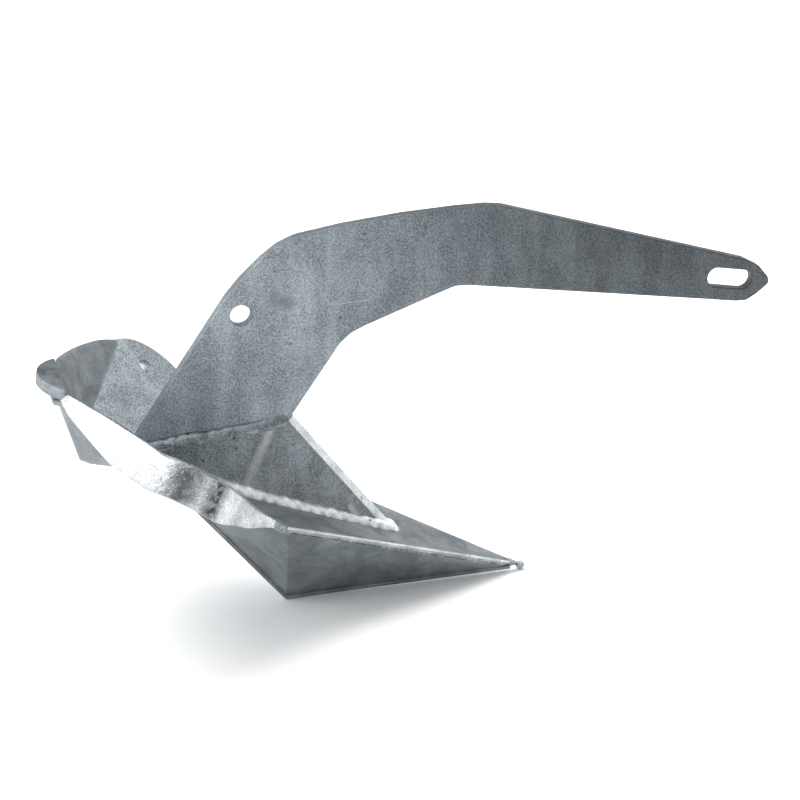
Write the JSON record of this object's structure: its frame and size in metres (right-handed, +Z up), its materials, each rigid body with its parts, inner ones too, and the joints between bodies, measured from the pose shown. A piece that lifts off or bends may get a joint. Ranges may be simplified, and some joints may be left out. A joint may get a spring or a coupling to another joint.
{
  "type": "boat anchor",
  "caption": "Galvanised plate anchor: fixed curved shank with a shackle slot and trip-line hole, concave fluke with turned-down wing flanges, ballast casing and gusset.",
  "frame": {"origin": "middle of the footprint at floor level, under the keel", "axes": "+X towards the toe of the fluke and the shackle end of the shank, +Y across to the left wing, +Z up"},
  "size_m": [0.7497, 0.3554, 0.4054],
  "materials": {
    "shank_steel": "hot-dip galvanised, dull",
    "fluke_steel": "hot-dip galvanised, dull with bright edges",
    "weld_metal": "galvanised weld bead, rough",
    "ballast": "raw casting, hidden"
  },
  "bodies": {
    "root": {"shank": "shank_steel", "fluke_plate": "fluke_steel", "heel_lip": "fluke_steel", "casing_left": "fluke_steel", "casing_right": "fluke_steel", "ballast_weight": "ballast", "toe_point": "fluke_steel", "gusset": "fluke_steel", "weld_gusset_foot_left": "weld_metal", "weld_gusset_foot_right": "weld_metal", "weld_gusset_top_left": "weld_metal", "weld_gusset_top_right": "weld_metal", "weld_shank_rear": "weld_metal", "weld_keel_seam": "weld_metal", "weld_rear_seam": "weld_metal", "weld_heel_lip": "weld_metal"}
  },
  "joints": []
}
